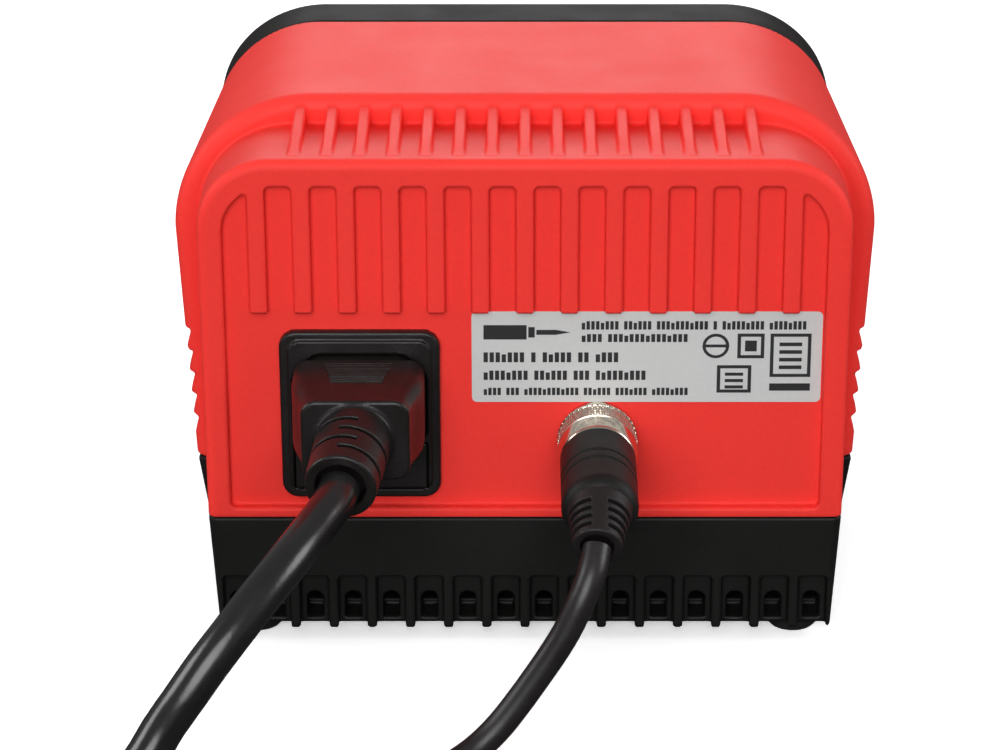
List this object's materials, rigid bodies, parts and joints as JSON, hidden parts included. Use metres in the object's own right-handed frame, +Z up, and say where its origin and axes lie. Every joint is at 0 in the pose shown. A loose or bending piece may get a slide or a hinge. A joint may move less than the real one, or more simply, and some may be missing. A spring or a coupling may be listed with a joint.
{
  "type": "soldering iron station",
  "caption": "Bench soldering station in a red and black plastic case, with its mains lead and its soldering iron plugged in at the back.",
  "frame": {"origin": "middle of the case's footprint, on the table", "axes": "+Z up, -Y out of the front panel, +Y out of the back with the two sockets, +X to the right seen from the front"},
  "size_m": [0.2393, 0.32, 0.1005],
  "materials": {
    "coral_plastic": "satin, fine moulded texture",
    "black_plastic": "fine moulded texture",
    "dark_grey_plastic": "fine moulded texture",
    "grey_keys": "satin",
    "gloss_black_plastic": "half gloss",
    "tinted_window": "clear, tinted",
    "board_green": "solder-mask gloss",
    "winding_tape": "smooth tape",
    "winding_copper": "enamelled wire",
    "capacitor_sleeve": "shrunk sleeve",
    "zinc_steel": "zinc plated",
    "bare_steel": "drawn tube, heat tinted",
    "bare_aluminium": "extruded",
    "nickel": "nickel plated",
    "gold_brass": "plated",
    "silver_label": "matt printed foil",
    "black_rubber": "matt",
    "coral_rubber": "soft matt",
    "cord_black": "smooth PVC",
    "soft_cord": "matt silicone",
    "white_ceramic": "fired ceramic",
    "iron_plate": "plated, heat stained"
  },
  "bodies": {
    "station": {"red_cover": "coral_plastic", "base_tray": "black_plastic", "front_rim": "dark_grey_plastic", "front_panel": "black_plastic", "display_window": "tinted_window", "display_module": "board_green", "rocker_housing": "black_plastic", "control_board": "board_green", "button_switches": "black_plastic", "power_board": "board_green", "board_screws": "zinc_steel", "transformer": "winding_tape", "bulk_capacitor": "capacitor_sleeve", "output_capacitors": "capacitor_sleeve", "line_choke": "winding_copper", "heat_sink": "bare_aluminium", "case_screws": "zinc_steel", "rubber_feet": "black_rubber", "rating_plate": "silver_label", "inlet_body": "gloss_black_plastic", "inlet_blades": "nickel", "fuse_drawer": "gloss_black_plastic", "fuse": "nickel", "iron_socket": "nickel", "socket_nut": "nickel", "socket_pins": "gold_brass", "iron_plug": "black_plastic", "iron_plug_boot": "black_rubber", "mains_connector": "gloss_black_plastic", "connector_contacts": "gold_brass", "mains_lead": "cord_black", "mains_coil": "cord_black", "mains_tail": "cord_black", "mains_tie": "black_rubber", "mains_plug": "gloss_black_plastic", "mains_plug_pins": "nickel", "iron_lead": "soft_cord", "iron_lead_coil": "soft_cord", "iron_lead_tail": "soft_cord", "iron_lead_tie": "black_rubber", "iron_boot": "black_rubber", "iron_handle": "black_plastic", "iron_grip": "coral_rubber", "iron_barrel": "bare_steel", "iron_heater": "white_ceramic", "iron_tip": "iron_plate"},
    "button_up_key": {"button_up": "grey_keys"},
    "button_down_key": {"button_down": "grey_keys"},
    "button_set_key": {"button_set": "coral_plastic"},
    "rocker_cap": {"power_rocker": "coral_plastic"},
    "ring": {"coupling_ring": "nickel"},
    "collar": {"iron_collar": "nickel"}
  },
  "joints": [
    {"name": "button_up_press", "type": "slide", "parent": "station", "child": "button_up_key", "axis": [0, 0.9879, -0.155], "range_m": [0, 0.0006], "stiffness_N_per_m": 100, "springref_m": -0.001},
    {"name": "button_down_press", "type": "slide", "parent": "station", "child": "button_down_key", "axis": [0, 0.9879, -0.155], "range_m": [0, 0.0006], "stiffness_N_per_m": 100, "springref_m": -0.001},
    {"name": "button_set_press", "type": "slide", "parent": "station", "child": "button_set_key", "axis": [0, 0.9879, -0.155], "range_m": [0, 0.0006], "stiffness_N_per_m": 100, "springref_m": -0.001},
    {"name": "power_rocker_turn", "type": "hinge", "parent": "station", "child": "rocker_cap", "pos_m": [0.038, -0.04117, 0.02376], "axis": [1, 0, 0], "range_deg": [-20, 0]},
    {"name": "coupling_ring_turn", "type": "hinge", "parent": "station", "child": "ring", "pos_m": [-0.0135, 0.0545, 0.0421], "axis": [0, 1, 0], "continuous": true},
    {"name": "iron_collar_turn", "type": "hinge", "parent": "station", "child": "collar", "pos_m": [0.085, 0.258, 0.01231], "axis": [0.9996, 0, 0.0279], "continuous": true}
  ]
}
